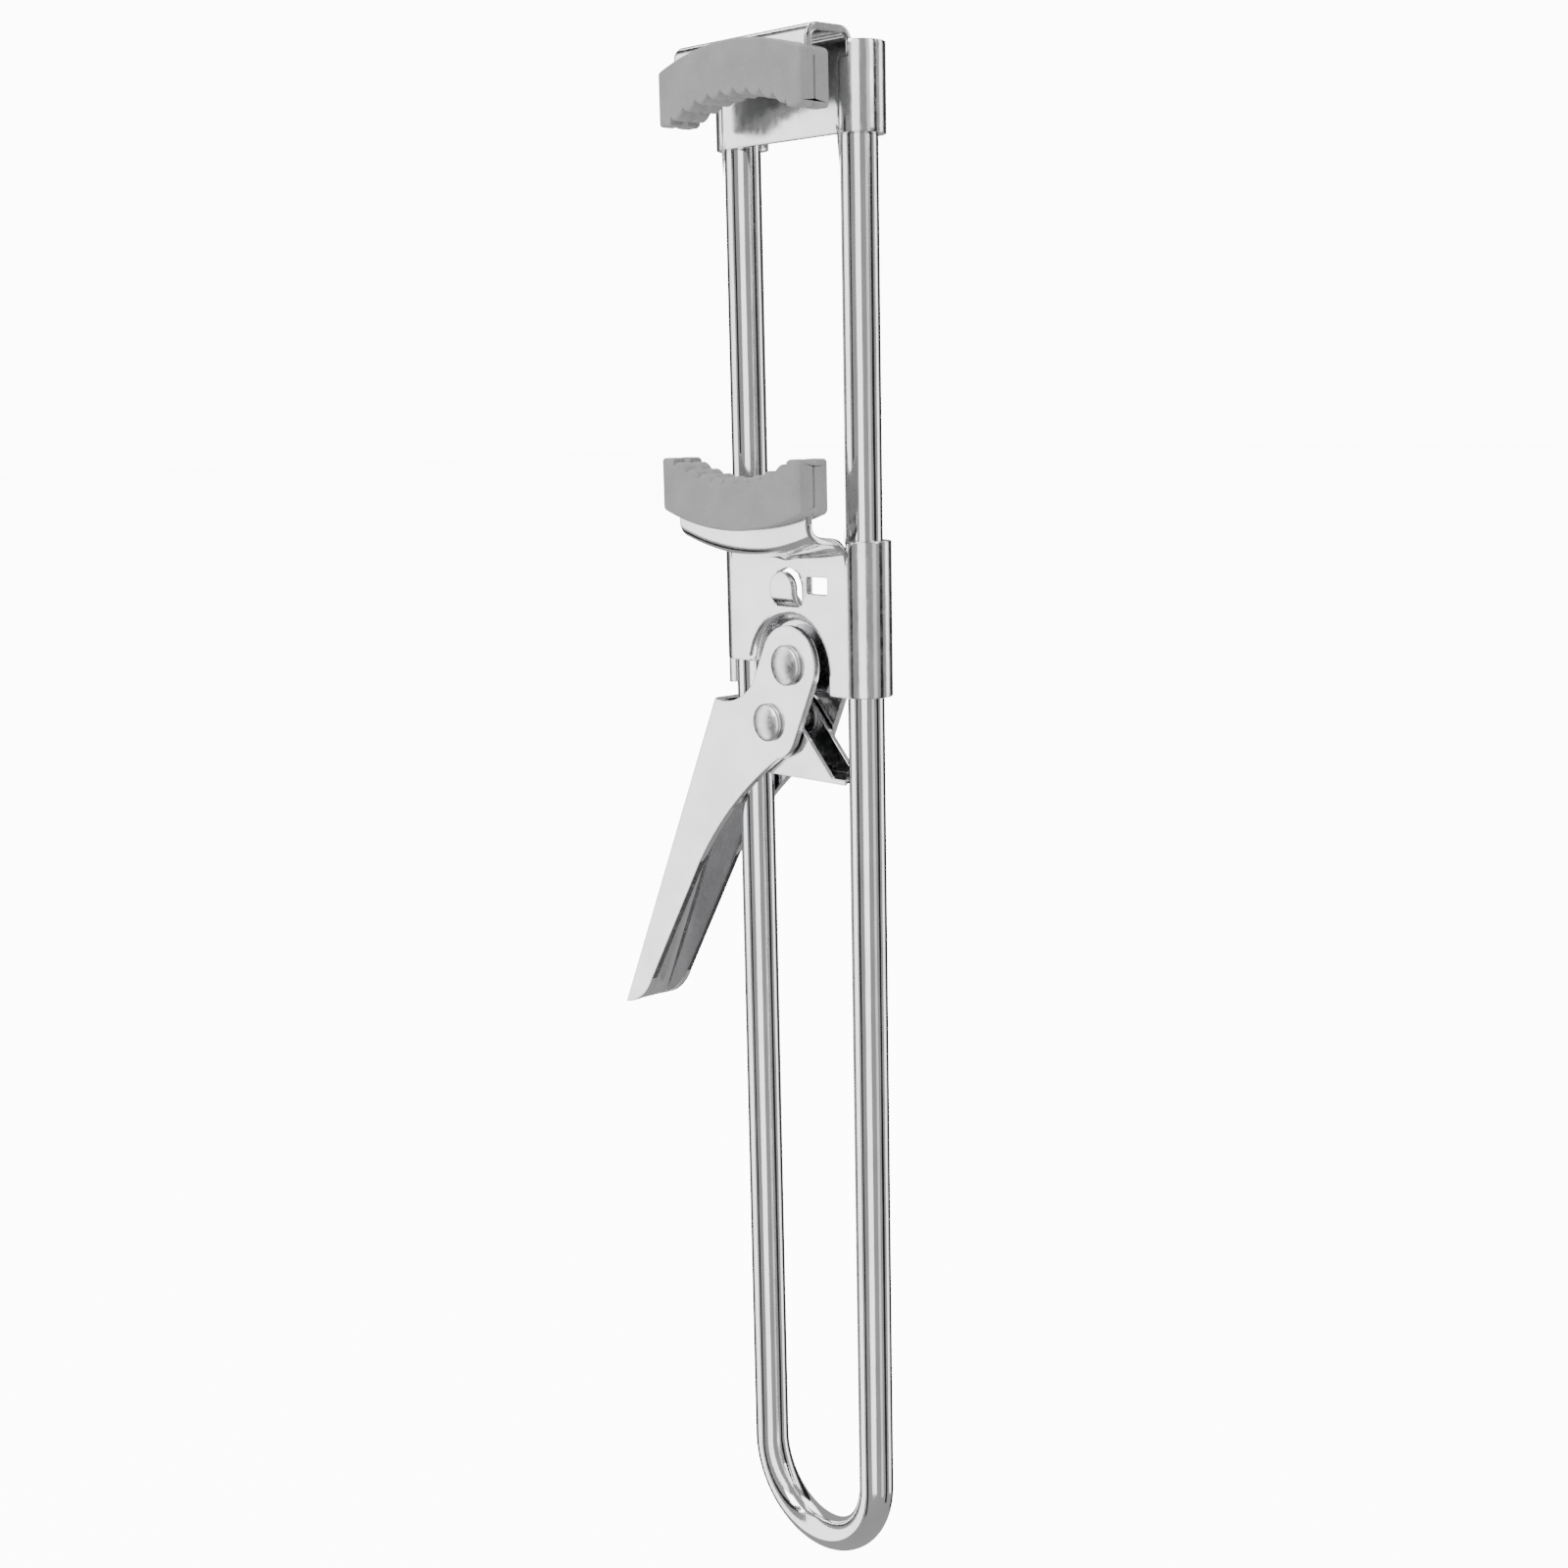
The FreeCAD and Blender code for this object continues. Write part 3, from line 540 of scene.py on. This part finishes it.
# %% [markdown]
# ## Lever and strut
# Both are plain folded channels. Folding leaves round outer corners, and shearing leaves edges that are
# slightly broken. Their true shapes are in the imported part, so each is a copy of its solid. The lever's long
# folds are rounded generously, and every other sharp edge is broken by a small bevel.


# %% folded sheet
LEVER_EDGE, LEVER_FOLD, STRUT_EDGE = 0.14, 1.3, 0.1
FOLD_ANGLE, EDGE_ANGLE, FLAT_ANGLE = 60, 35, 0.5
SQUARE_ON, LONG_FOLD = 0.98, 20


def folded(name, node, body, edge, fold=0.0, is_fold=None):
    """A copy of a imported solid: folds rounded by fold, and the rest of its sharp edges by edge, in mm."""
    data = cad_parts[node].data.copy()
    data.name = name
    data.materials.clear()
    mesh = bmesh.new()
    mesh.from_mesh(data)
    bmesh.ops.remove_doubles(mesh, verts=mesh.verts, dist=0.002 * MM)
    flat = math.radians(FLAT_ANGLE)
    bmesh.ops.dissolve_limit(mesh, angle_limit=flat, verts=mesh.verts, edges=mesh.edges)

    def sharp_edges(limit):
        sharp = []
        for e in mesh.edges:
            if len(e.link_faces) == 2 and e.calc_face_angle() > math.radians(limit):
                sharp.append(e)
        return sharp

    if is_fold:
        folds = [e for e in sharp_edges(FOLD_ANGLE) if is_fold(e)]
        bmesh.ops.bevel(mesh, geom=folds, offset=fold * MM, segments=6, profile=0.5, affect="EDGES")
        print(name, len(folds), "folds")
    sharp = sharp_edges(EDGE_ANGLE)
    bmesh.ops.bevel(mesh, geom=sharp, offset=edge * MM, segments=2, profile=0.5, affect="EDGES")
    mesh.to_mesh(data)
    mesh.free()
    piece = place(name, data, body, [node])
    finish_mesh(piece, CRISP)
    steady_normals(piece)
    print(name, len(piece.data.vertices), "points")
    return piece


TILT = math.radians(25.3)
WEB_OUT = Vector((-math.cos(TILT), 0, math.sin(TILT)))


def lever_fold(edge):
    """The long corners, outside and in, where the lever's flanges leave its web."""
    normals = [f.normal for f in edge.link_faces]
    web = max(abs(n.dot(WEB_OUT)) for n in normals)
    flange = max(abs(n.y) for n in normals)
    return web > SQUARE_ON and flange > SQUARE_ON and edge.calc_length() > LONG_FOLD * MM


lever = folded("lever_channel", "lever", "lever", LEVER_EDGE, LEVER_FOLD, lever_fold)
strut = folded("strut_channel", "locking_strut", "strut", STRUT_EDGE)

# %% [markdown]
# ## Rivets
# Both pivots are solid rivets. Each was closed with a round punch, which leaves a low dome and a rounded
# rim. They are turned profiles, so a spun skin is exact.

# %% rivets
RIM_CRISP = 60
RIVETS = {
    "lever_rivet": ("slider", 2.95, 1.7, (0.0, 139.6)),
    "strut_rivet": ("lever", 2.8, 1.6, (-4.326, 130.916)),
}


def rivet(node, body, head, shank, spot):
    half = [(0.02, 5.5), (0.5, 5.48), (1.0, 5.42), (1.5, 5.32), (2.0, 5.17), (2.3, 5.05)]
    half += [(head - 0.3, 4.93), (head - 0.1, 4.82), (head, 4.62)]
    half += [(head, 4.3), (head - 0.08, 4.2), (shank, 4.2)]
    profile = half + [(r, -y) for r, y in reversed(half)]
    rows = []
    for i in range(65):
        a = 2 * math.pi * i / 64
        rows.append([(spot[0] + r * math.cos(a), y, spot[1] + r * math.sin(a)) for r, y in profile])
    piece = make_piece(node + "_turned", *skin(rows), body, "rivet_steel", [node], crisp=RIM_CRISP)
    weld(piece, reach=0.001)
    finish_mesh(piece, RIM_CRISP)
    return piece


rivets = [rivet(node, *facts) for node, facts in RIVETS.items()]

# %% [markdown]
# ## Shared finishes
# Four effects are used again and again: the lengthwise grain of drawn and rolled steel, the fine
# scratches of handling, an edge mask for wear and for painted shade along steel's edges, and the skin of
# moulded rubber. Each is a node group with named sockets that gives out masks, values and heights only, so
# that each material decides what to do with them.


# %% effect groups
def new_group(name, inputs, outputs):
    group = bpy.data.node_groups.new(name, "ShaderNodeTree")
    for label, kind, start in inputs:
        group.interface.new_socket(label, in_out="INPUT", socket_type=kind).default_value = start
    for label, kind in outputs:
        group.interface.new_socket(label, in_out="OUTPUT", socket_type=kind)
    return group, group.nodes.new("NodeGroupInput"), group.nodes.new("NodeGroupOutput")


def add_node(tree, kind, **sockets):
    node = tree.nodes.new(kind)
    for label, value in sockets.items():
        target = node.inputs[label.replace("_", " ")]
        if isinstance(value, bpy.types.NodeSocket):
            tree.links.new(value, target)
        else:
            target.default_value = value
    return node


def spread(tree, value, low, high, to_low=0.0, to_high=1.0):
    """Stretch a value from low..high to to_low..to_high."""
    node = add_node(tree, "ShaderNodeMapRange", Value=value)
    for label, number in (("From Min", low), ("From Max", high), ("To Min", to_low), ("To Max", to_high)):
        node.inputs[label].default_value = number
    return node.outputs["Result"]


def both(tree, first, second, operation="MULTIPLY"):
    node = tree.nodes.new("ShaderNodeMath")
    node.operation = operation
    tree.links.new(first, node.inputs[0])
    tree.links.new(second, node.inputs[1])
    return node.outputs[0]


# lengthwise grain: noise drawn out along one direction
grain, inside, outside = new_group(
    "drawn_grain",
    [("Vector", "NodeSocketVector", (0, 0, 0)), ("Stretch", "NodeSocketVector", (3000, 3000, 60))],
    [("Grain", "NodeSocketFloat"), ("Cloud", "NodeSocketFloat")])
drawn = add_node(grain, "ShaderNodeVectorMath")
drawn.operation = "MULTIPLY"
grain.links.new(inside.outputs["Vector"], drawn.inputs[0])
grain.links.new(inside.outputs["Stretch"], drawn.inputs[1])
lines = add_node(grain, "ShaderNodeTexNoise", Vector=drawn.outputs[0], Scale=1.0, Detail=5.0)
cloud = add_node(grain, "ShaderNodeTexNoise", Vector=inside.outputs["Vector"], Scale=140.0, Detail=3.0)
grain.links.new(spread(grain, lines.outputs["Fac"], 0.32, 0.68), outside.inputs["Grain"])
grain.links.new(spread(grain, cloud.outputs["Fac"], 0.35, 0.65), outside.inputs["Cloud"])

# handling scratches: thin crossing lines, each kind only in patches
scratches, inside, outside = new_group(
    "handling_scratches",
    [("Vector", "NodeSocketVector", (0, 0, 0)), ("Density", "NodeSocketFloat", 1.0)],
    [("Scratch", "NodeSocketFloat")])
masks = []
for turn, size in ((0.5, 380.0), (1.9, 520.0)):
    turned = add_node(scratches, "ShaderNodeMapping", Vector=inside.outputs["Vector"],
                      Rotation=(0.3, turn, 0.8), Scale=(1.0, 0.05, 1.0))
    cells = add_node(scratches, "ShaderNodeTexVoronoi", Vector=turned.outputs[0], Scale=size)
    cells.feature = "DISTANCE_TO_EDGE"
    hair = spread(scratches, cells.outputs["Distance"], 0.0, 0.018, 1.0, 0.0)
    where = add_node(scratches, "ShaderNodeTexNoise", Vector=inside.outputs["Vector"], Scale=size / 3)
    masks.append(both(scratches, hair, spread(scratches, where.outputs["Fac"], 0.55, 0.7)))
crossed = both(scratches, masks[0], masks[1], "MAXIMUM")
scratches.links.new(both(scratches, crossed, inside.outputs["Density"]), outside.inputs["Scratch"])

# edge mask for wear and painted shade: where a normal averaged over a small radius leaves the true one
edges, inside, outside = new_group(
    "edge_wear_and_painted_shade",
    [("Vector", "NodeSocketVector", (0, 0, 0))],
    [("Edge", "NodeSocketFloat")])
rounded = add_node(edges, "ShaderNodeBevel", Radius=0.0005)
rounded.samples = 4
true_normal = edges.nodes.new("ShaderNodeNewGeometry")
turned_away = edges.nodes.new("ShaderNodeVectorMath")
turned_away.operation = "DOT_PRODUCT"
edges.links.new(rounded.outputs[0], turned_away.inputs[0])
edges.links.new(true_normal.outputs["Normal"], turned_away.inputs[1])
steep = spread(edges, turned_away.outputs["Value"], 0.99, 0.8, 0.0, 1.0)
patchy = add_node(edges, "ShaderNodeTexNoise", Vector=inside.outputs["Vector"], Scale=900.0, Detail=3.0)
edges.links.new(both(edges, steep, spread(edges, patchy.outputs["Fac"], 0.15, 0.45)), outside.inputs["Edge"])

# moulded rubber: fine grain, scattered pits and pale specks
rubber_skin, inside, outside = new_group(
    "rubber_skin",
    [("Vector", "NodeSocketVector", (0, 0, 0))],
    [("Tone", "NodeSocketFloat"), ("Speck", "NodeSocketFloat"), ("Height", "NodeSocketFloat")])
fine = add_node(rubber_skin, "ShaderNodeTexNoise", Vector=inside.outputs["Vector"], Scale=3200.0, Detail=4.0)
broad = add_node(rubber_skin, "ShaderNodeTexNoise", Vector=inside.outputs["Vector"], Scale=220.0, Detail=3.0)
pits = add_node(rubber_skin, "ShaderNodeTexVoronoi", Vector=inside.outputs["Vector"], Scale=1500.0)
pit = spread(rubber_skin, pits.outputs["Distance"], 0.08, 0.28, 0.0, 1.0)
rubber_skin.links.new(spread(rubber_skin, broad.outputs["Fac"], 0.3, 0.7), outside.inputs["Tone"])
rubber_skin.links.new(spread(rubber_skin, fine.outputs["Fac"], 0.62, 0.75), outside.inputs["Speck"])
rubber_skin.links.new(both(rubber_skin, fine.outputs["Fac"], pit), outside.inputs["Height"])
print("groups:", [g.name for g in bpy.data.node_groups])

# %% [markdown]
# ## Materials
# The rod is drawn and buffed: nearly a mirror, with a faint grain along its length. Pressed sheet is a little
# softer and shows its rolling direction and some scratches, and its sheared edges are duller. On all steel
# the edges are also mixed towards near-black in colour, a painted shade.
# Rivets and spring wire were never polished. The rubber is matt, slightly uneven in tone, and paler
# on its ribs, where it is rubbed.


# %% materials
def new_material(name):
    material = bpy.data.materials.new(name)
    material.use_nodes = True
    tree = material.node_tree
    shader = tree.nodes["Principled BSDF"]
    coords = tree.nodes.new("ShaderNodeTexCoord").outputs["Object"]
    return material, tree, shader, coords


def use_group(tree, group, **sockets):
    node = tree.nodes.new("ShaderNodeGroup")
    node.node_tree = group
    for label, value in sockets.items():
        if isinstance(value, bpy.types.NodeSocket):
            tree.links.new(value, node.inputs[label])
        else:
            node.inputs[label].default_value = value
    return node


def tint(tree, factor, dark, light):
    ramp = tree.nodes.new("ShaderNodeValToRGB")
    ramp.color_ramp.elements[0].color = (*dark, 1)
    ramp.color_ramp.elements[1].color = (*light, 1)
    tree.links.new(factor, ramp.inputs[0])
    return ramp.outputs[0]


def emboss(tree, shader, height, strength, distance):
    bump = add_node(tree, "ShaderNodeBump", Height=height, Strength=strength, Distance=distance)
    tree.links.new(bump.outputs[0], shader.inputs["Normal"])


def steel(name, dark, light, rough_low, rough_high, stretch, density, bump):
    material, tree, shader, coords = new_material(name)
    shader.inputs["Metallic"].default_value = 1.0
    run = use_group(tree, grain, Vector=coords, Stretch=stretch)
    hair = use_group(tree, scratches, Vector=coords, Density=density)
    edge_wear_and_shade = use_group(tree, edges, Vector=coords)
    # edges are mixed towards a near-black base colour: painted shade along every edge of the steel
    painted_edge_shade = tree.nodes.new("ShaderNodeMix")
    painted_edge_shade.data_type = "RGBA"
    tree.links.new(spread(tree, edge_wear_and_shade.outputs["Edge"], 0.0, 1.0, 0.0, 0.9), painted_edge_shade.inputs["Factor"])
    tree.links.new(tint(tree, run.outputs["Cloud"], dark, light), painted_edge_shade.inputs["A"])
    painted_edge_shade.inputs["B"].default_value = (0.16, 0.16, 0.16, 1)
    tree.links.new(painted_edge_shade.outputs["Result"], shader.inputs["Base Color"])
    rough = spread(tree, run.outputs["Grain"], 0.0, 1.0, rough_low, rough_high)
    rough = both(tree, rough, spread(tree, hair.outputs["Scratch"], 0.0, 1.0, 0.0, 0.16), "ADD")
    rough = both(tree, rough, spread(tree, edge_wear_and_shade.outputs["Edge"], 0.0, 1.0, 0.0, 0.14), "ADD")
    tree.links.new(rough, shader.inputs["Roughness"])
    height = both(tree, run.outputs["Grain"], spread(tree, hair.outputs["Scratch"], 0.0, 1.0, 1.0, 0.2))
    emboss(tree, shader, height, bump, 0.00002)
    return material


polished = steel("polished_steel", (0.74, 0.74, 0.75), (0.82, 0.82, 0.83), 0.06, 0.13,
                 (3500, 3500, 40), 0.5, 0.12)
pressed = steel("pressed_steel", (0.70, 0.70, 0.71), (0.80, 0.80, 0.81), 0.10, 0.20,
                (1500, 1500, 600), 0.8, 0.1)
riveted = steel("rivet_steel", (0.58, 0.58, 0.58), (0.70, 0.70, 0.70), 0.24, 0.38,
                (1500, 1500, 1500), 1.0, 0.3)
wire = steel("spring_steel", (0.42, 0.42, 0.42), (0.56, 0.56, 0.56), 0.28, 0.42,
             (1800, 1800, 1800), 0.5, 0.3)

rubber, tree, shader, coords = new_material("grey_rubber")
skin_marks = use_group(tree, rubber_skin, Vector=coords)
rubbed = use_group(tree, edges, Vector=coords)
ground = tint(tree, skin_marks.outputs["Tone"], (0.225, 0.225, 0.228), (0.275, 0.275, 0.278))
paler = tree.nodes.new("ShaderNodeMix")
paler.data_type = "RGBA"
lift = both(tree, spread(tree, skin_marks.outputs["Speck"], 0, 1, 0.0, 0.3),
            spread(tree, rubbed.outputs["Edge"], 0, 1, 0.0, 0.35), "MAXIMUM")
tree.links.new(lift, paler.inputs["Factor"])
tree.links.new(ground, paler.inputs["A"])
paler.inputs["B"].default_value = (0.45, 0.45, 0.45, 1)
tree.links.new(paler.outputs["Result"], shader.inputs["Base Color"])
tree.links.new(spread(tree, skin_marks.outputs["Tone"], 0, 1, 0.72, 0.86), shader.inputs["Roughness"])
shader.inputs["Specular IOR Level"].default_value = 0.35
emboss(tree, shader, skin_marks.outputs["Height"], 0.55, 0.00006)

rod.data.materials.append(polished)
for piece in (slider, tab, lever, strut, fixed_jaw):
    piece.data.materials.clear()
    piece.data.materials.append(pressed)
for piece in rivets:
    piece.data.materials.append(riveted)
for piece in (upper_pad, lower_pad):
    piece.data.materials.append(rubber)
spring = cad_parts["strut_spring"]
spring.data.materials.clear()
spring.data.materials.append(wire)
print("materials:", [m.name for m in (polished, pressed, riveted, wire, rubber)])

# %% [markdown]
# ## Floor, light and cards
# The opener stands on a plain pale floor that runs out of sight. Polished steel shows whatever stands round
# it, so the light is mostly large and white, and a few dark cards beside the object draw the
# long dark lines that make a rod read as round. The cards are seen by reflections only.


# %% floor
FLOOR_HALF, FLOOR_Z, FLOOR_GLOW = 6, -0.0004, 11.0
SQUARE = ((-1, -1), (1, -1), (1, 1), (-1, 1))
floor_data = bpy.data.meshes.new("floor")
floor_corners = [(x * FLOOR_HALF, y * FLOOR_HALF, FLOOR_Z) for x, y in SQUARE]
floor_data.from_pydata(floor_corners, [], [(0, 1, 2, 3)])
floor = bpy.data.objects.new("floor", floor_data)
bpy.context.scene.collection.objects.link(floor)
pale, tree, shader, coords = new_material("pale_floor")
patches = add_node(tree, "ShaderNodeTexNoise", Vector=coords, Scale=3.0, Detail=4.0)
floor_tone = tint(tree, patches.outputs["Fac"], (0.86, 0.86, 0.86), (0.90, 0.90, 0.90))
tree.links.new(floor_tone, shader.inputs["Base Color"])
tree.links.new(spread(tree, patches.outputs["Fac"], 0, 1, 0.75, 0.9), shader.inputs["Roughness"])
# only the camera sees the floor glow, so it looks white and lights nothing
camera_sees = tree.nodes.new("ShaderNodeLightPath").outputs["Is Camera Ray"]
shader.inputs["Emission Color"].default_value = (1, 1, 1, 1)
tree.links.new(spread(tree, camera_sees, 0, 1, 0.0, FLOOR_GLOW), shader.inputs["Emission Strength"])
floor_data.materials.append(pale)
floor.visible_glossy = False
print("floor at", FLOOR_Z)

# %% [markdown]
# ## Cards and lights
# White and grey cards give the steel its broad bright bands, and dark cards between them draw its narrow dark
# lines. Three large softboxes light the rubber and the floor, and the room itself is dim.


# %% cards and lights
def glow(name, level):
    material = bpy.data.materials.new(name)
    material.use_nodes = True
    tree = material.node_tree
    tree.nodes.remove(tree.nodes["Principled BSDF"])
    light = add_node(tree, "ShaderNodeEmission", Color=(1, 1, 1, 1), Strength=level)
    tree.links.new(light.outputs[0], tree.nodes["Material Output"].inputs[0])
    return material


dark_card = glow("dark_card", 0.02)
white_card = glow("white_card", 3.0)
grey_card = glow("grey_card", 1.2)


def card(name, azimuth, distance, width, low, high, material):
    """An upright card facing the object. Azimuth 0 is straight in front, and 90 to the right."""
    a = math.radians(azimuth)
    out, across = Vector((math.sin(a), -math.cos(a), 0)), Vector((math.cos(a), math.sin(a), 0))
    corners = []
    for side, z in ((-1, low), (1, low), (1, high), (-1, high)):
        corners.append(out * distance + across * side * width / 2 + Vector((0, 0, z)))
    data = bpy.data.meshes.new(name)
    data.from_pydata(corners, [], [(0, 1, 2, 3)])
    data.materials.append(material)
    piece = bpy.data.objects.new(name, data)
    bpy.context.scene.collection.objects.link(piece)
    piece.visible_camera = False
    piece.visible_diffuse = False
    piece.visible_shadow = False
    piece.visible_transmission = False
    return piece


VIEW_AZ = 47.8
LAMP_AIM_Z = 0.12
ROOM_GLOW, BACKDROP_GLOW = 0.42, 12.0
card("card_white_left", VIEW_AZ - 98, 0.55, 0.34, -0.4, 0.7, white_card)
card("card_white_front", VIEW_AZ - 14, 0.9, 0.5, -0.5, 0.9, white_card)
card("card_grey_right", VIEW_AZ + 40, 0.8, 0.2, -0.5, 0.9, grey_card)
card("card_white_rear", VIEW_AZ + 105, 0.7, 0.22, -0.4, 0.8, white_card)
card("card_dark_left", VIEW_AZ - 62, 0.5, 0.10, -0.4, 0.7, dark_card)
card("card_dark_far_left", VIEW_AZ - 137, 0.5, 0.16, -0.4, 0.7, dark_card)
card("card_dark_right", VIEW_AZ + 70, 0.5, 0.14, -0.4, 0.7, dark_card)
card("card_dark_far_right", VIEW_AZ + 135, 0.5, 0.22, -0.4, 0.7, dark_card)


def softbox(name, azimuth, height, distance, size, watts):
    light = bpy.data.lights.new(name, "AREA")
    light.shape = "RECTANGLE"
    light.size, light.size_y = size, size
    light.energy = watts
    lamp = bpy.data.objects.new(name, light)
    a = math.radians(azimuth)
    lamp.location = (math.sin(a) * distance, -math.cos(a) * distance, height)
    aim = Vector((0, 0, LAMP_AIM_Z)) - lamp.location
    lamp.rotation_euler = aim.to_track_quat("-Z", "Y").to_euler()
    bpy.context.scene.collection.objects.link(lamp)
    return lamp


softbox("key_light", VIEW_AZ - 50, 0.85, 0.9, 0.7, 14)
softbox("fill_light", VIEW_AZ + 60, 0.7, 1.0, 0.8, 8)
softbox("top_light", VIEW_AZ + 180, 1.2, 0.5, 1.0, 12)

world = bpy.data.worlds.new("studio")
bpy.context.scene.world = world
world.use_nodes = True
tree = world.node_tree
room = tree.nodes["Background"]
room.inputs["Color"].default_value = (1, 1, 1, 1)
room.inputs["Strength"].default_value = ROOM_GLOW
backdrop = add_node(tree, "ShaderNodeBackground", Color=(1, 1, 1, 1), Strength=BACKDROP_GLOW)
seen = tree.nodes.new("ShaderNodeMixShader")
tree.links.new(tree.nodes.new("ShaderNodeLightPath").outputs["Is Camera Ray"], seen.inputs[0])
tree.links.new(room.outputs[0], seen.inputs[1])
tree.links.new(backdrop.outputs[0], seen.inputs[2])
tree.links.new(seen.outputs[0], tree.nodes["World Output"].inputs[0])
print("lights:", [light.name for light in bpy.data.lights])

# %% [markdown]
# ## Camera
# The opener is seen from its front right, a little from above, from about a third of a metre away, so the
# nearer leg is clearly larger. The lens is aimed at the middle of the rod and shifted slightly.

# %% camera
VIEW_EL, VIEW_ROLL, VIEW_FAR = 11.74, 1.046, 0.3208
AIM_Z, LENS, SHIFT = 0.112, 49.94, (-0.0179, 0.0415)
az, el, roll = (math.radians(v) for v in (VIEW_AZ, VIEW_EL, VIEW_ROLL))
back = Vector((math.sin(az) * math.cos(el), -math.cos(az) * math.cos(el), math.sin(el)))
right = Vector((math.cos(az), math.sin(az), 0))
upward = back.cross(right)
turned_right = right * math.cos(roll) - upward * math.sin(roll)
turned_up = right * math.sin(roll) + upward * math.cos(roll)
camera = bpy.data.objects.new("camera", bpy.data.cameras.new("camera"))
camera.data.lens = LENS
camera.data.sensor_width = 36
camera.data.shift_x, camera.data.shift_y = SHIFT
camera.data.clip_start = 0.01
camera.matrix_world = Matrix.Translation(Vector((0, 0, AIM_Z)) + back * VIEW_FAR) @ Matrix(
    (turned_right, turned_up, back)).transposed().to_4x4()
bpy.context.scene.collection.objects.link(camera)
bpy.context.scene.camera = camera
print("camera at", [round(c, 4) for c in camera.location])
